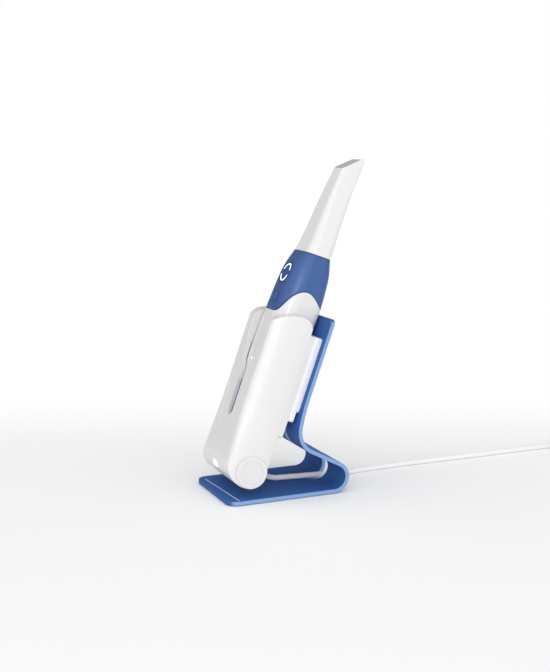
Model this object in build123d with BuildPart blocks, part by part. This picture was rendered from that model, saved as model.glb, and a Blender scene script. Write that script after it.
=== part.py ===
"""Wireless intraoral scanner standing in its charging cradle on a bent sheet stand.

Millimetres, +Z up, origin on the table under the middle of the stand's base plate.
The scanner's front faces -Y and its tip leans back towards +Y.
"""
from build123d import *
from math import cos, pi, radians, sin, tan
import os

# Bent sheet stand
STAND_WIDTH = 85.0
SHEET = 3.4
STAND_DEPTH = 115.0
REAR_BEND_RADIUS = 14.3
RAMP_TILT = 27.6
RAMP_RUN = 32.0
NECK_RADIUS = 18.84
NECK_TURN = 73.73
BACK_ARC_RADIUS = 182.8
BACK_ARC_TURN = 8.54
BACK_RUN = 71.7
FRONT_CORNER = 10.0
TOP_CORNER = 6.0
CABLE_SLOT_WIDTH = 11.7
CABLE_SLOT_FRONT = 7.7
CABLE_SLOT_RAMP = 13.0
HOOK_SLOT_WIDTH = 7.5
HOOK_SLOT_PITCH = 21.5
HOOK_SLOT_TOP = 85.0
HOOK_SLOT_RAMP = 5.0
HOOK_SLOT_RUN = 22.0
PAD_THICKNESS = 0.8
PAD_MARGIN = 2.5

# Bracket and cradle, by distance in front of the back sheet and along it
BRACKET_WIDTH = 72.0
BRACKET_TOP = -19.3
FLANGE_THICKNESS = 2.3
FLANGE_BOTTOM = -87.5
BLOCK_THICKNESS = 5.2
BLOCK_BOTTOM = -97.0
COVER_THICKNESS = 4.5
COVER_BOTTOM = -113.0
BRACKET_CORNER = 2.5
CRADLE_DEPTH = 35.5
CRADLE_FRONT_HALF = 24.9
CRADLE_FRONT_ROUND = 5.0
CRADLE_FOOT_HALF = 30.0
CRADLE_FOOT_WIDTH = BRACKET_WIDTH + 1.0
CRADLE_STRAIGHT_END = -88.0
CRADLE_FLARE_END = -152.0
CRADLE_SECTIONS = 12
CRADLE_SIDE_BULGE = 3.0
CRADLE_RIM_FRONT = -19.5
# Rim seen from the side: distance behind the cradle's front, rise above its front end
RIM_CURVE = [(0.0, 0.0), (4.9, 6.5), (11.5, 10.0), (22.5, 13.0), (32.0, 10.5), (CRADLE_DEPTH, 0.2)]
# Shallow flat on the cradle's front: half width, level
PANEL_CURVE = [
    (25.5, 0.0), (24.5, -45.0), (22.0, -77.0), (19.3, -98.0),
    (16.2, -113.0), (10.5, -123.5), (0.0, -126.6),
]
PANEL_DEPTH = 0.5
FOOT_ROUND = 20.0
BARREL_RADIUS = 14.5
BARREL_LEVEL = -148.5
BARREL_FORWARD = 25.2
BARREL_LENGTH = CRADLE_FOOT_WIDTH + 2.0
CAP_THICKNESS = 2.0
CAP_DISH = 10.0
CAP_DISH_DEPTH = 0.6
FUNNEL_SLOT_HALF = 4.5
# Edge of the front opening: half width, level
FUNNEL_CURVE = [
    (16.0, CRADLE_RIM_FRONT), (15.5, -32.0), (13.0, -47.0), (9.5, -57.0),
    (5.7, -63.0), (FUNNEL_SLOT_HALF, -71.0),
]
FUNNEL_SLOT_BOTTOM = -104.0
POCKET_CLEARANCE = 0.6
SEAT_THICKNESS = 4.0
FOOT_LIGHT_WIDTH = 11.0
FOOT_LIGHT_HEIGHT = 7.0
FOOT_LIGHT_TILT = 32.0
FOOT_LIGHT_DEPTH = 4.5

# Charging electronics in the barrel
CHARGE_BAY_WIDTH = 34.0
CHARGE_BAY_BACK = 17.5
CHARGE_BAY_FRONT = 38.0
BLOCK_HEIGHT = 8.0
CONTACT_BLOCK_WIDTH = 22.0
CONTACT_BLOCK_DEPTH = 11.0
CIRCUIT_BOARD = 1.6
PIN_PITCH = 12.0
PIN_DIAMETER = 1.6
PIN_FIT = 0.06
PIN_LENGTH = 9.0
PIN_GAP = 0.1
PAD_DIAMETER = 4.0
PAD_DEPTH = 1.2

# Scanner body sections: level along the axis, half width, front, back, corner radii
BODY_SECTIONS = [
    (-138.0, 17.0, 40.2, 15.5, 9.0, 7.0),
    (-131.0, 18.8, 41.6, 14.2, 12.0, 8.0),
    (-100.0, 20.8, 42.9, 12.2, 14.0, 8.0),
    (-54.0, 21.6, 42.9, 7.2, 15.5, 8.0),
    (-20.0, 21.9, 41.6, 2.5, 16.0, 8.0),
    (0.0, 21.9, 40.2, 0.9, 16.0, 8.0),
    (22.0, 20.8, 38.5, 1.1, 15.0, 8.0),
    (34.0, 19.7, 36.2, 1.9, 12.5, 8.0),
    (43.0, 18.6, 33.0, 3.7, 10.0, 8.0),
    (49.0, 18.0, 30.5, 5.2, 8.0, 8.0),
]
BODY_BOTTOM = BODY_SECTIONS[0][0]
BODY_TOP = BODY_SECTIONS[-1][0]
TIP_GAP = 0.3
TIP_SECTIONS = [
    (BODY_TOP + TIP_GAP, 18.0, 30.0, 5.3, 8.0, 8.0),
    (82.0, 14.2, 26.0, 4.4, 6.0, 6.0),
    (111.0, 11.3, 22.9, 3.3, 4.0, 4.0),
    (130.0, 9.4, 20.3, 1.6, 3.0, 3.0),
    (146.0, 8.0, 18.3, 0.2, 2.5, 2.5),
]
END_CAP_TOP = -130.0
HANDLE_WALL = 2.4
LEAST_CORNER = 0.8
COLLAR_ROOF = 3.0
# Lower edge of the collar seen from the side: in front of the back sheet, level
WAVE_FRONT = (46.0, -9.5)
WAVE_BACK = (-3.0, 2.6)
WAVE_CURVE = [
    WAVE_FRONT, (40.5, -8.4), (37.9, -3.6), (32.0, 8.5), (25.0, 14.2),
    (19.5, 14.9), (12.7, 12.0), (4.6, 5.4), WAVE_BACK,
]
TIP_WALL = 1.6
TIP_FIT = 0.35
NOSE_WALL = 1.4
NOSE_END = 118.0
NOSE_ROOT = 44.0
OPTICS_PLATE = 4.0
OPTICS_DIAMETER = 8.0
OPTICS_PITCH = 12.0
OPTICS_FORWARD = 17.6
CAMERA_LENGTH = 30.0
PROJECTOR_LENGTH = 24.0
WINDOW_GLASS = 1.2
TIP_END_FRONT = (20.1, 129.8)
TIP_END_BACK = (5.7, 142.3)
TIP_CROWN = 3.0
TIP_BACK_TRIM = 0.5
SCAN_WINDOW_WIDTH = 13.0
SCAN_WINDOW_DEPTH = 8.0
SCAN_WINDOW_LOW = 121.0
SCAN_WINDOW_HIGH = 137.0
MIRROR_THICKNESS = 1.0
MIRROR_WIDTH = 11.6
MIRROR_EDGE = 3.0

# Keys, light and the parts inside the handle
SCAN_KEY_LEVEL = 27.0
SCAN_KEY_WIDTH = 16.0
SCAN_KEY_HEIGHT = 20.0
RING_WIDTH = 13.4
RING_HEIGHT = 17.0
RING_LINE = 1.3
RING_BREAK = 4.6
RING_DEPTH = 1.0
POWER_KEY_LEVEL = 4.5
POWER_KEY_DIAMETER = 10.0
POWER_KEY_BACK = 36.6
KEY_FIT = 0.3
KEY_BACK = 34.2
STEM_DIAMETER = 3.0
SWITCH_TOP = 33.0
SWITCH_HEIGHT = 1.5
SWITCH_DIAMETER = 4.5
SWITCH_GAP = 0.7
KEY_BRACKET_WIDTH = 14.0
BOARD_BACK = 20.0
BOARD_WIDTH = 28.0
BATTERY_WIDTH = 26.0
BATTERY_BACK = 18.0
BATTERY_FRONT = 35.0
BATTERY_LENGTH = 72.0
BATTERY_CORNER = 3.0
LED_DIAMETER = 2.4
LED_CLEARANCE = 2.2

# Fasteners
SCREW_DIAMETER = 3.0
SCREW_HEAD = 6.5
SCREW_HEAD_HEIGHT = 1.8
SCREW_LENGTH = 9.0
SCREW_PITCH = 56.0
SCREW_ROWS = (-30.0, -66.0)
HOLE_FIT = 0.2

# Charging lead
CABLE_DIAMETER = 5.0
GLAND_TILT = 30.0
GLAND_ROOT = 9.0
GLAND_TIP = 6.4
GLAND_LENGTH = 9.0
GLAND_START = 8.8
LEAD_FIRST_RUN = 13.6
LEAD_TABLE = CABLE_DIAMETER / 2
LEAD_ARC_SHARE = 0.45
# Corners of the lead behind its first straight run
LEAD_CORNERS = [
    (-0.5, 15.0, 7.4), (0.4, 33.0, 6.9), (-0.6, 50.0, 6.0), (-3.4, 67.0, 3.0),
    (-8.6, 86.0, LEAD_TABLE), (-10.8, 116.0, LEAD_TABLE), (-11.5, 164.0, LEAD_TABLE),
    (-10.2, 218.0, LEAD_TABLE), (-10.7, 276.0, LEAD_TABLE), (-9.0, 331.0, LEAD_TABLE),
]
COIL_OUTER = 38.0
COIL_BUILD = 20.0
COIL_HEIGHT = 10.5
PLUG_GRIP_WIDTH = 16.0
PLUG_GRIP_HEIGHT = 8.0
PLUG_GRIP_LENGTH = 26.0
PLUG_SHELL_WIDTH = 12.0
PLUG_SHELL_HEIGHT = 4.5
PLUG_SHELL_LENGTH = 14.0
PLUG_SHELL_WALL = 0.6
PLUG_HOLLOW_RISE = 0.9
PLUG_HOLLOW_HEIGHT = 2.2
PLUG_HOLLOW_DEPTH = 11.0


# Centre line of the stand's outer face, from the front edge to the top edge
with BuildLine(Plane.YZ) as stand_spine:
    base_run = Line(
        (-STAND_DEPTH / 2, PAD_THICKNESS), (STAND_DEPTH / 2 - REAR_BEND_RADIUS, PAD_THICKNESS)
    )
    rear_bend = JernArc(base_run @ 1, base_run % 1, REAR_BEND_RADIUS, 180 - RAMP_TILT)
    ramp_run = Line(rear_bend @ 1, rear_bend @ 1 + (rear_bend % 1) * RAMP_RUN)
    neck_bend = JernArc(ramp_run @ 1, ramp_run % 1, NECK_RADIUS, -NECK_TURN)
    back_arc = JernArc(neck_bend @ 1, neck_bend % 1, BACK_ARC_RADIUS, -BACK_ARC_TURN)
    back_run = Line(back_arc @ 1, back_arc @ 1 + (back_arc % 1) * BACK_RUN)

ALONG = back_run % 1
FORWARD = Vector(0, -ALONG.Z, ALONG.Y)
LEAN_ORIGIN = back_run @ 1 + FORWARD * SHEET
ACROSS = Vector(1, 0, 0)
# LEAN stacks sections up the scanner, SIDE sees (forward, level), FRONT sees (across, level)
LEAN = Plane(origin=LEAN_ORIGIN, x_dir=ACROSS, z_dir=ALONG)
SIDE = Plane(origin=LEAN_ORIGIN, x_dir=FORWARD, z_dir=-ACROSS)
FRONT = Plane(origin=LEAN_ORIGIN, x_dir=ACROSS, z_dir=FORWARD)
# RAMP lies on the ramp's outer face, with its second axis up the slope
RAMP = Plane(origin=ramp_run @ 0, x_dir=ACROSS, z_dir=ACROSS.cross(ramp_run % 0))

# Fronts of the layers stacked on the back sheet, and the levels at the cradle's foot
flange_front = FLANGE_THICKNESS
block_front = flange_front + BLOCK_THICKNESS
cover_front = block_front + COVER_THICKNESS
cradle_front = cover_front + CRADLE_DEPTH
barrel_foot = BARREL_LEVEL - BARREL_RADIUS
toe_level = barrel_foot + FOOT_ROUND

# Status light, just past the end of the battery
battery_top = END_CAP_TOP + BATTERY_LENGTH
led_level = battery_top + LED_CLEARANCE + LED_DIAMETER / 2


def spot(across, forward, level):
    """Point given across the stand, in front of the back sheet and along it."""
    return LEAN_ORIGIN + ACROSS * across + FORWARD * forward + ALONG * level


def rounded_section(section, inset=0.0):
    """Boxy section across the scanner, with its own front and back corner radii."""
    level, half, front, back, front_corner, back_corner = section
    with BuildSketch(LEAN.offset(level)) as outline:
        with Locations((0, -(front + back) / 2)):
            Rectangle(2 * (half - inset), front - back - 2 * inset)
        # The sketch looks down the scanner, so its lowest corners are the front ones
        fillet(outline.vertices().group_by(Axis.Y)[0], max(front_corner - inset, LEAST_CORNER))
        fillet(outline.vertices().group_by(Axis.Y)[-1], max(back_corner - inset, LEAST_CORNER))
    return outline.sketch


def loft_sections(sections, inset=0.0):
    """Add the solid through the sections, each one shrunk by the inset, to the current part."""
    loft([rounded_section(section, inset) for section in sections])


def bracket_layer(back, front, bottom, room):
    """Add one layer of the bracket to the current part, cut where the scanner lies against it."""
    height = BRACKET_TOP - bottom
    with BuildSketch(FRONT.offset(back)) as outline:
        with Locations((0, BRACKET_TOP - height / 2)):
            RectangleRounded(BRACKET_WIDTH, height, BRACKET_CORNER)
    extrude(outline.sketch, amount=front - back)
    add(room, mode=Mode.SUBTRACT)


def flare(level):
    """Share of the cradle's widening that is reached at a level, eased at both ends."""
    share = (CRADLE_STRAIGHT_END - level) / (CRADLE_STRAIGHT_END - CRADLE_FLARE_END)
    share = min(1.0, max(0.0, share))
    return share**2 * (3 - 2 * share)


def cradle_section(level):
    """Cradle outline at one level: flat front with round corners, bulging sides, flat back."""
    front_half = CRADLE_FRONT_HALF + (CRADLE_FOOT_HALF - CRADLE_FRONT_HALF) * flare(level)
    back_half = (BRACKET_WIDTH + (CRADLE_FOOT_WIDTH - BRACKET_WIDTH) * flare(level)) / 2
    chord = Vector(back_half - front_half, CRADLE_DEPTH)
    bulge = Vector(chord.Y, -chord.X).normalized() * CRADLE_SIDE_BULGE
    middle = Vector((front_half + back_half) / 2, -(cradle_front + cover_front) / 2) + bulge
    with BuildSketch(LEAN.offset(level)) as outline:
        with BuildLine():
            Line((-front_half, -cradle_front), (front_half, -cradle_front))
            ThreePointArc(
                (front_half, -cradle_front), (middle.X, middle.Y), (back_half, -cover_front)
            )
            Line((back_half, -cover_front), (-back_half, -cover_front))
            ThreePointArc(
                (-back_half, -cover_front), (-middle.X, middle.Y), (-front_half, -cradle_front)
            )
        make_face()
        fillet(outline.vertices().group_by(Axis.Y)[0], CRADLE_FRONT_ROUND)
    return outline.sketch


def nose_solid(inset):
    """Add the tapered nose that the tip slides over, shrunk by the inset, to the current part."""
    loft_sections(TIP_SECTIONS, inset)
    split(bisect_by=LEAN.offset(NOSE_END), keep=Keep.BOTTOM)
    extrude(rounded_section(TIP_SECTIONS[0], inset), amount=NOSE_ROOT - TIP_SECTIONS[0][0])


def key_outline(fit):
    """Outline of the scan key, grown by the fit, drawn on the main board's back."""
    with BuildSketch(FRONT.offset(BOARD_BACK)) as outline:
        with Locations((0, SCAN_KEY_LEVEL)):
            Ellipse(SCAN_KEY_WIDTH / 2 + fit, SCAN_KEY_HEIGHT / 2 + fit)
    return outline.sketch


def power_outline(fit):
    """Outline of the power key, grown by the fit, drawn on the main board's back."""
    with BuildSketch(FRONT.offset(BOARD_BACK)) as outline:
        with Locations((0, POWER_KEY_LEVEL)):
            Circle(POWER_KEY_DIAMETER / 2 + fit)
    return outline.sketch


def corner_radii(points):
    """Largest even arcs: a share of the shorter run over the tangent of half the turn."""
    radii = []
    for before, corner, after in zip(points, points[1:], points[2:]):
        turn = (corner - before).get_angle(after - corner)
        shorter = min((corner - before).length, (after - corner).length)
        radii.append(LEAD_ARC_SHARE * shorter / tan(radians(turn / 2)))
    return radii


def screw_spots():
    """Places of the bracket's screws, across and along the back sheet."""
    return [(side * SCREW_PITCH / 2, level) for level in SCREW_ROWS for side in (-1, 1)]


def save(piece, name):
    """Label one finished piece and write its file."""
    piece.label = name
    export_step(piece, "parts/" + name + ".step")


os.makedirs("parts", exist_ok=True)
BEYOND = 200.0

# Stand: one sheet bent three times, with a cable slot and two hook slots
with BuildLine(Plane.YZ) as stand_outline:
    add(stand_spine.line)
    offset(amount=SHEET, side=Side.RIGHT)
stand_section = make_face(stand_outline.edges())
with BuildPart() as stand_plate:
    extrude(stand_section, amount=STAND_WIDTH / 2, dir=(1, 0, 0), both=True)
    upright = stand_plate.edges().filter_by(Axis.Z)
    fillet(upright.group_by(Axis.Y)[0], FRONT_CORNER)
    top_corners = stand_plate.edges().filter_by(lambda edge: abs((edge % 0.5).dot(FORWARD)) > 0.99)
    fillet(top_corners.group_by(Axis.Z)[-1], TOP_CORNER)
    # Cable slot: level through the base, open round the rear bend, square to the ramp above
    slot_front = STAND_DEPTH / 2 - REAR_BEND_RADIUS - CABLE_SLOT_FRONT
    with BuildSketch():
        with Locations((0, slot_front + BEYOND / 2)):
            SlotOverall(BEYOND, CABLE_SLOT_WIDTH, rotation=90)
    extrude(amount=PAD_THICKNESS + SHEET + REAR_BEND_RADIUS, mode=Mode.SUBTRACT)
    with BuildSketch(RAMP):
        with Locations((0, CABLE_SLOT_RAMP - BEYOND / 2)):
            SlotOverall(BEYOND, CABLE_SLOT_WIDTH, rotation=90)
    extrude(amount=REAR_BEND_RADIUS, both=True, mode=Mode.SUBTRACT)
    # Hook slots: from the ramp round the neck to behind the bracket
    for side in (-1, 1):
        with BuildSketch(RAMP):
            with Locations((side * HOOK_SLOT_PITCH / 2, RAMP_RUN - HOOK_SLOT_RAMP + BEYOND / 2)):
                SlotOverall(BEYOND, HOOK_SLOT_WIDTH, rotation=90)
        extrude(amount=NECK_RADIUS / 2, both=True, mode=Mode.SUBTRACT)
        with BuildSketch(FRONT):
            with Locations((side * HOOK_SLOT_PITCH / 2, -HOOK_SLOT_TOP - HOOK_SLOT_RUN / 2)):
                SlotOverall(HOOK_SLOT_RUN, HOOK_SLOT_WIDTH, rotation=90)
        extrude(amount=NECK_RADIUS / 2, both=True, mode=Mode.SUBTRACT)
    with Locations(FRONT):
        with Locations(*screw_spots()):
            Hole(SCREW_DIAMETER / 2 + HOLE_FIT)
save(stand_plate.part, "stand_plate")

# Soft pad under the base, short of the cable slot
pad_front = -STAND_DEPTH / 2 + PAD_MARGIN
pad_back = slot_front - PAD_MARGIN
pad_width = STAND_WIDTH - 2 * PAD_MARGIN
with BuildPart() as base_pad:
    with BuildSketch():
        with Locations((0, (pad_front + pad_back) / 2)):
            RectangleRounded(pad_width, pad_back - pad_front, FRONT_CORNER - PAD_MARGIN)
    extrude(amount=PAD_THICKNESS)
save(base_pad.part, "base_pad")

# Room that the scanner needs wherever it passes through the bracket or the cradle
with BuildPart() as scanner_room:
    loft_sections(BODY_SECTIONS, inset=-POCKET_CLEARANCE)
    split(bisect_by=LEAN.offset(BODY_BOTTOM), keep=Keep.TOP)

# Bracket: flange, block and the cradle's back cover stacked on the back sheet
with BuildPart() as bracket_flange:
    bracket_layer(0, flange_front, FLANGE_BOTTOM, scanner_room.part)
    with Locations(FRONT):
        with Locations(*screw_spots()):
            Hole(SCREW_DIAMETER / 2 + HOLE_FIT)
save(bracket_flange.part, "bracket_flange")

with BuildPart() as bracket_block:
    bracket_layer(flange_front, block_front, BLOCK_BOTTOM, scanner_room.part)
    screw_reach = SCREW_LENGTH - SHEET - FLANGE_THICKNESS
    with Locations(FRONT.offset(flange_front)):
        with Locations(*screw_spots()):
            Cylinder(
                SCREW_DIAMETER / 2, screw_reach,
                align=(Align.CENTER, Align.CENTER, Align.MIN), mode=Mode.SUBTRACT,
            )
save(bracket_block.part, "bracket_block")

with BuildPart() as cradle_back_cover:
    bracket_layer(block_front, cover_front, COVER_BOTTOM, scanner_room.part)
save(cradle_back_cover.part, "cradle_back_cover")

with BuildPart() as bracket_screws:
    with Locations(FRONT.offset(-SHEET)):
        with Locations(*screw_spots()):
            Cylinder(
                SCREW_DIAMETER / 2, SCREW_LENGTH, align=(Align.CENTER, Align.CENTER, Align.MIN)
            )
            Cylinder(
                SCREW_HEAD / 2, SCREW_HEAD_HEIGHT, align=(Align.CENTER, Align.CENTER, Align.MAX)
            )
save(bracket_screws.part, "bracket_screws")

# Cradle: sections stacked up the scanner, trimmed to its side view
barrel_centre = spot(0, BARREL_FORWARD, BARREL_LEVEL)
seat_floor = BODY_BOTTOM - SEAT_THICKNESS
bay_floor = seat_floor - BLOCK_HEIGHT - CIRCUIT_BOARD
bay_depth = CHARGE_BAY_FRONT - CHARGE_BAY_BACK
bay_forward = (CHARGE_BAY_FRONT + CHARGE_BAY_BACK) / 2
seat_section = BODY_SECTIONS[0]
contact_forward = (seat_section[2] + seat_section[3]) / 2
with BuildSketch(SIDE) as cradle_profile:
    with BuildLine():
        Line((cradle_front, toe_level), (cradle_front, CRADLE_RIM_FRONT))
        Spline([(cradle_front - back, CRADLE_RIM_FRONT + rise) for back, rise in RIM_CURVE])
        Line((cover_front, CRADLE_RIM_FRONT + RIM_CURVE[-1][1]), (cover_front, toe_level))
        Line((cover_front, toe_level), (BARREL_FORWARD, barrel_foot))
        Line((BARREL_FORWARD, barrel_foot), (cradle_front - FOOT_ROUND, barrel_foot))
        CenterArc((cradle_front - FOOT_ROUND, toe_level), FOOT_ROUND, -90, 90)
    make_face()

with BuildSketch(FRONT.offset(cradle_front)) as funnel:
    with BuildLine():
        slot_low = FUNNEL_SLOT_BOTTOM - FUNNEL_SLOT_HALF
        Polyline((0, slot_low), (0, 0), (FUNNEL_CURVE[0][0], 0), FUNNEL_CURVE[0])
        Spline(FUNNEL_CURVE)
        Line(FUNNEL_CURVE[-1], (FUNNEL_SLOT_HALF, FUNNEL_SLOT_BOTTOM))
        CenterArc((0, FUNNEL_SLOT_BOTTOM), FUNNEL_SLOT_HALF, -90, 90)
    make_face()
    mirror(about=Plane.YZ)

with BuildSketch(FRONT.offset(cradle_front)) as front_panel:
    with BuildLine():
        Polyline(PANEL_CURVE[-1], (0, 0), PANEL_CURVE[0])
        Spline(PANEL_CURVE, tangents=[(0, -1), (-1, 0)])
    make_face()
    mirror(about=Plane.YZ)

gland_line = Vector(0, cos(radians(GLAND_TILT)), -sin(radians(GLAND_TILT)))
GLAND = Plane(origin=barrel_centre, x_dir=ACROSS, z_dir=gland_line)
BARREL = Plane(origin=barrel_centre, x_dir=FORWARD, z_dir=ACROSS)

with BuildPart() as cradle_solid:
    top_to_foot = barrel_foot - CAP_THICKNESS
    loft([
        cradle_section(top_to_foot * step / CRADLE_SECTIONS) for step in range(CRADLE_SECTIONS + 1)
    ])
    extrude(cradle_profile.sketch, amount=STAND_WIDTH, both=True, mode=Mode.INTERSECT)
    extrude(front_panel.sketch, amount=-PANEL_DEPTH, mode=Mode.SUBTRACT)
    with Locations(BARREL):
        Cylinder(BARREL_RADIUS, BARREL_LENGTH - 2 * CAP_THICKNESS)
    for side in (-1, 1):
        with BuildSketch(BARREL.offset(side * (BARREL_LENGTH / 2 - CAP_THICKNESS))):
            Circle(BARREL_RADIUS)
        extrude(amount=side * BARREL_RADIUS, mode=Mode.SUBTRACT)
    add(scanner_room.part, mode=Mode.SUBTRACT)
    extrude(
        rounded_section(seat_section, -POCKET_CLEARANCE), amount=-SEAT_THICKNESS, mode=Mode.SUBTRACT
    )
    extrude(funnel.sketch, amount=-CRADLE_DEPTH / 2, mode=Mode.SUBTRACT)
    with BuildSketch(LEAN.offset(bay_floor)):
        with Locations((0, -bay_forward)):
            Rectangle(CHARGE_BAY_WIDTH, bay_depth)
    extrude(amount=seat_floor - bay_floor, mode=Mode.SUBTRACT)
    with BuildSketch(GLAND.offset(GLAND_START - HOLE_FIT)):
        Circle(GLAND_ROOT / 2)
    extrude(amount=BARREL_RADIUS, mode=Mode.SUBTRACT)

# Light window let flush into the round of the cradle's foot
foot_light_line = FORWARD * cos(radians(FOOT_LIGHT_TILT)) - ALONG * sin(radians(FOOT_LIGHT_TILT))
FOOT_LIGHT = Plane(
    origin=spot(0, cradle_front - FOOT_ROUND, toe_level), x_dir=ACROSS, z_dir=foot_light_line
)
with BuildPart() as foot_light:
    with BuildSketch(FOOT_LIGHT.offset(FOOT_ROUND - FOOT_LIGHT_DEPTH)):
        SlotOverall(FOOT_LIGHT_WIDTH, FOOT_LIGHT_HEIGHT)
    extrude(amount=2 * FOOT_LIGHT_DEPTH)
    add(cradle_solid.part, mode=Mode.INTERSECT)
save(foot_light.part, "foot_light")

with BuildPart() as cradle_shell:
    add(cradle_solid.part)
    add(foot_light.part, mode=Mode.SUBTRACT)
save(cradle_shell.part, "cradle_shell")

for side, name in ((-1, "cradle_cap_left"), (1, "cradle_cap_right")):
    with BuildPart() as cap:
        with BuildSketch(BARREL.offset(side * (BARREL_LENGTH / 2 - CAP_THICKNESS))):
            Circle(BARREL_RADIUS)
        extrude(amount=side * CAP_THICKNESS)
        fillet(cap.edges().sort_by(Axis.X)[-1 if side > 0 else 0], CAP_THICKNESS / 2)
        with BuildSketch(BARREL.offset(side * BARREL_LENGTH / 2)):
            Circle(CAP_DISH)
        extrude(amount=-side * CAP_DISH_DEPTH, mode=Mode.SUBTRACT)
    save(cap.part, name)

# Seat, contact block, pins and board under the scanner
pin_spots = [(side * PIN_PITCH / 2, -contact_forward) for side in (-1, 1)]
with BuildPart() as handle_seat:
    extrude(rounded_section(seat_section, HOLE_FIT - POCKET_CLEARANCE), amount=-SEAT_THICKNESS)
    with BuildSketch(LEAN.offset(seat_floor)):
        with Locations(*pin_spots):
            Circle(PIN_DIAMETER / 2 + PIN_FIT)
    extrude(amount=SEAT_THICKNESS, mode=Mode.SUBTRACT)
save(handle_seat.part, "handle_seat")

with BuildPart() as contact_block:
    with BuildSketch(LEAN.offset(seat_floor)):
        with Locations((0, -contact_forward)):
            Rectangle(CONTACT_BLOCK_WIDTH, CONTACT_BLOCK_DEPTH)
        with Locations(*pin_spots):
            Circle(PIN_DIAMETER / 2 + PIN_FIT, mode=Mode.SUBTRACT)
    extrude(amount=-BLOCK_HEIGHT)
save(contact_block.part, "contact_block")

for pin_spot, name in zip(pin_spots, ("contact_pin_left", "contact_pin_right")):
    with BuildPart() as pin:
        with BuildSketch(LEAN.offset(BODY_BOTTOM - PIN_GAP)):
            with Locations(pin_spot):
                Circle(PIN_DIAMETER / 2)
        extrude(amount=-PIN_LENGTH)
    save(pin.part, name)

with BuildPart() as charge_board:
    with BuildSketch(LEAN.offset(bay_floor)):
        with Locations((0, -bay_forward)):
            Rectangle(CHARGE_BAY_WIDTH - 2 * HOLE_FIT, bay_depth - 2 * HOLE_FIT)
    extrude(amount=CIRCUIT_BOARD)
save(charge_board.part, "charge_board")

with BuildPart() as cable_gland:
    with BuildSketch(GLAND.offset(GLAND_START)):
        Circle(GLAND_ROOT / 2)
    extrude(amount=BARREL_RADIUS - GLAND_START)
    with BuildSketch(GLAND.offset(BARREL_RADIUS)):
        Circle(GLAND_ROOT / 2)
    with BuildSketch(GLAND.offset(BARREL_RADIUS + GLAND_LENGTH)):
        Circle(GLAND_TIP / 2)
    loft()
save(cable_gland.part, "cable_gland")

# Scanner body, with its white handle and the coloured collar that meets it on a wavy edge
with BuildPart() as body_form:
    loft_sections(BODY_SECTIONS)
with BuildPart() as body_cavity:
    loft_sections(BODY_SECTIONS, HANDLE_WALL)
    split(bisect_by=LEAN.offset(END_CAP_TOP), keep=Keep.TOP)
    split(bisect_by=LEAN.offset(BODY_TOP - COLLAR_ROOF), keep=Keep.BOTTOM)
wave_top = BODY_TOP + TIP_GAP
with BuildSketch(SIDE) as above_wave:
    with BuildLine():
        Spline(WAVE_CURVE)
        Polyline(
            WAVE_BACK, (WAVE_BACK[0], wave_top), (WAVE_FRONT[0], wave_top), WAVE_FRONT
        )
    make_face()

nose_inset = TIP_WALL + TIP_FIT
with BuildPart() as nose_form:
    nose_solid(nose_inset)
with BuildPart() as nose_bore:
    nose_solid(nose_inset + NOSE_WALL)

with BuildPart() as handle_shell:
    add(body_form.part)
    extrude(above_wave.sketch, amount=STAND_WIDTH, both=True, mode=Mode.SUBTRACT)
    split(bisect_by=LEAN.offset(END_CAP_TOP), keep=Keep.TOP)
    add(body_cavity.part, mode=Mode.SUBTRACT)
    with BuildSketch(FRONT.offset(BOARD_BACK)):
        with Locations((0, led_level)):
            Circle((LED_DIAMETER + HOLE_FIT) / 2)
    extrude(amount=BEYOND, mode=Mode.SUBTRACT)
save(handle_shell.part, "handle_shell")

with BuildPart() as collar:
    add(body_form.part)
    extrude(above_wave.sketch, amount=STAND_WIDTH, both=True, mode=Mode.INTERSECT)
    add(body_cavity.part, mode=Mode.SUBTRACT)
    add(nose_form.part, mode=Mode.SUBTRACT)
    extrude(key_outline(KEY_FIT), amount=BEYOND, mode=Mode.SUBTRACT)
    extrude(power_outline(KEY_FIT), amount=BEYOND, mode=Mode.SUBTRACT)
save(collar.part, "collar")

with BuildPart() as handle_end_cap:
    add(body_form.part)
    split(bisect_by=LEAN.offset(END_CAP_TOP), keep=Keep.BOTTOM)
    with BuildSketch(LEAN.offset(BODY_BOTTOM)):
        with Locations(*pin_spots):
            Circle(PAD_DIAMETER / 2)
    extrude(amount=PAD_DEPTH, mode=Mode.SUBTRACT)
save(handle_end_cap.part, "handle_end_cap")

with BuildPart() as charge_pads:
    with BuildSketch(LEAN.offset(BODY_BOTTOM)):
        with Locations(*pin_spots):
            Circle(PAD_DIAMETER / 2)
    extrude(amount=PAD_DEPTH)
save(charge_pads.part, "charge_pads")

# Keys set flush into the collar, with a broken ring of light round the scan key
with BuildPart() as body_skin:
    loft_sections(BODY_SECTIONS, RING_DEPTH)
with BuildPart() as ring_light:
    with BuildSketch(FRONT):
        with Locations((0, SCAN_KEY_LEVEL)):
            Ellipse(RING_WIDTH / 2, RING_HEIGHT / 2)
            Ellipse(RING_WIDTH / 2 - RING_LINE, RING_HEIGHT / 2 - RING_LINE, mode=Mode.SUBTRACT)
            Rectangle(2 * RING_WIDTH, RING_BREAK, mode=Mode.SUBTRACT)
    extrude(amount=BEYOND)
    add(body_form.part, mode=Mode.INTERSECT)
    add(body_skin.part, mode=Mode.SUBTRACT)
    split(bisect_by=FRONT.offset(BOARD_BACK), keep=Keep.TOP)
save(ring_light.part, "ring_light")

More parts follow.
